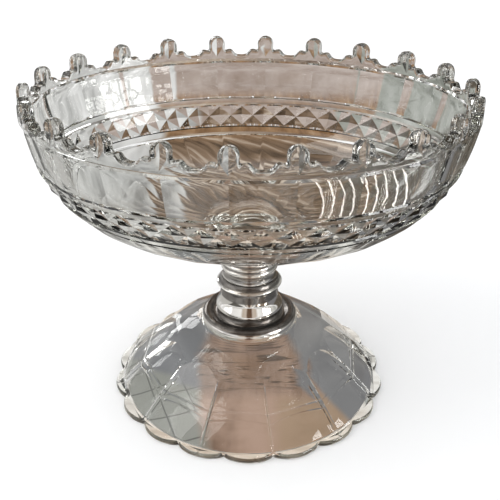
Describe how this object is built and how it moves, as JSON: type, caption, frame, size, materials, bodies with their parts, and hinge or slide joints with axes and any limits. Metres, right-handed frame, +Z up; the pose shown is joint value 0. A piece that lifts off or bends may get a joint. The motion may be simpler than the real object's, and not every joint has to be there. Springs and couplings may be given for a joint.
{
  "type": "fruit bowl",
  "caption": "Oval cut glass fruit bowl with a castellated rim, set in a short plated mount on a domed, faceted glass foot with a scalloped edge.",
  "frame": {"origin": "centre of the foot on the surface that the bowl stands on", "axes": "+Z up; the long axis of the oval bowl runs along X; -Y is the side seen first"},
  "size_m": [0.2578, 0.1986, 0.2],
  "materials": {
    "lead_glass": "polished cut glass",
    "silver_plate": "polished silver plate with light wear",
    "brass": "turned brass, dulled",
    "plaster": "set plaster"
  },
  "bodies": {
    "root": {"glass_bowl": "lead_glass", "glass_foot": "lead_glass", "bowl_collar": "silver_plate", "knife_edge_ring": "silver_plate", "stem_drum": "silver_plate", "base_flange": "silver_plate", "bowl_plaster": "plaster", "foot_plaster": "plaster", "tie_bolt": "brass", "bolt_washer": "brass"}
  },
  "joints": []
}
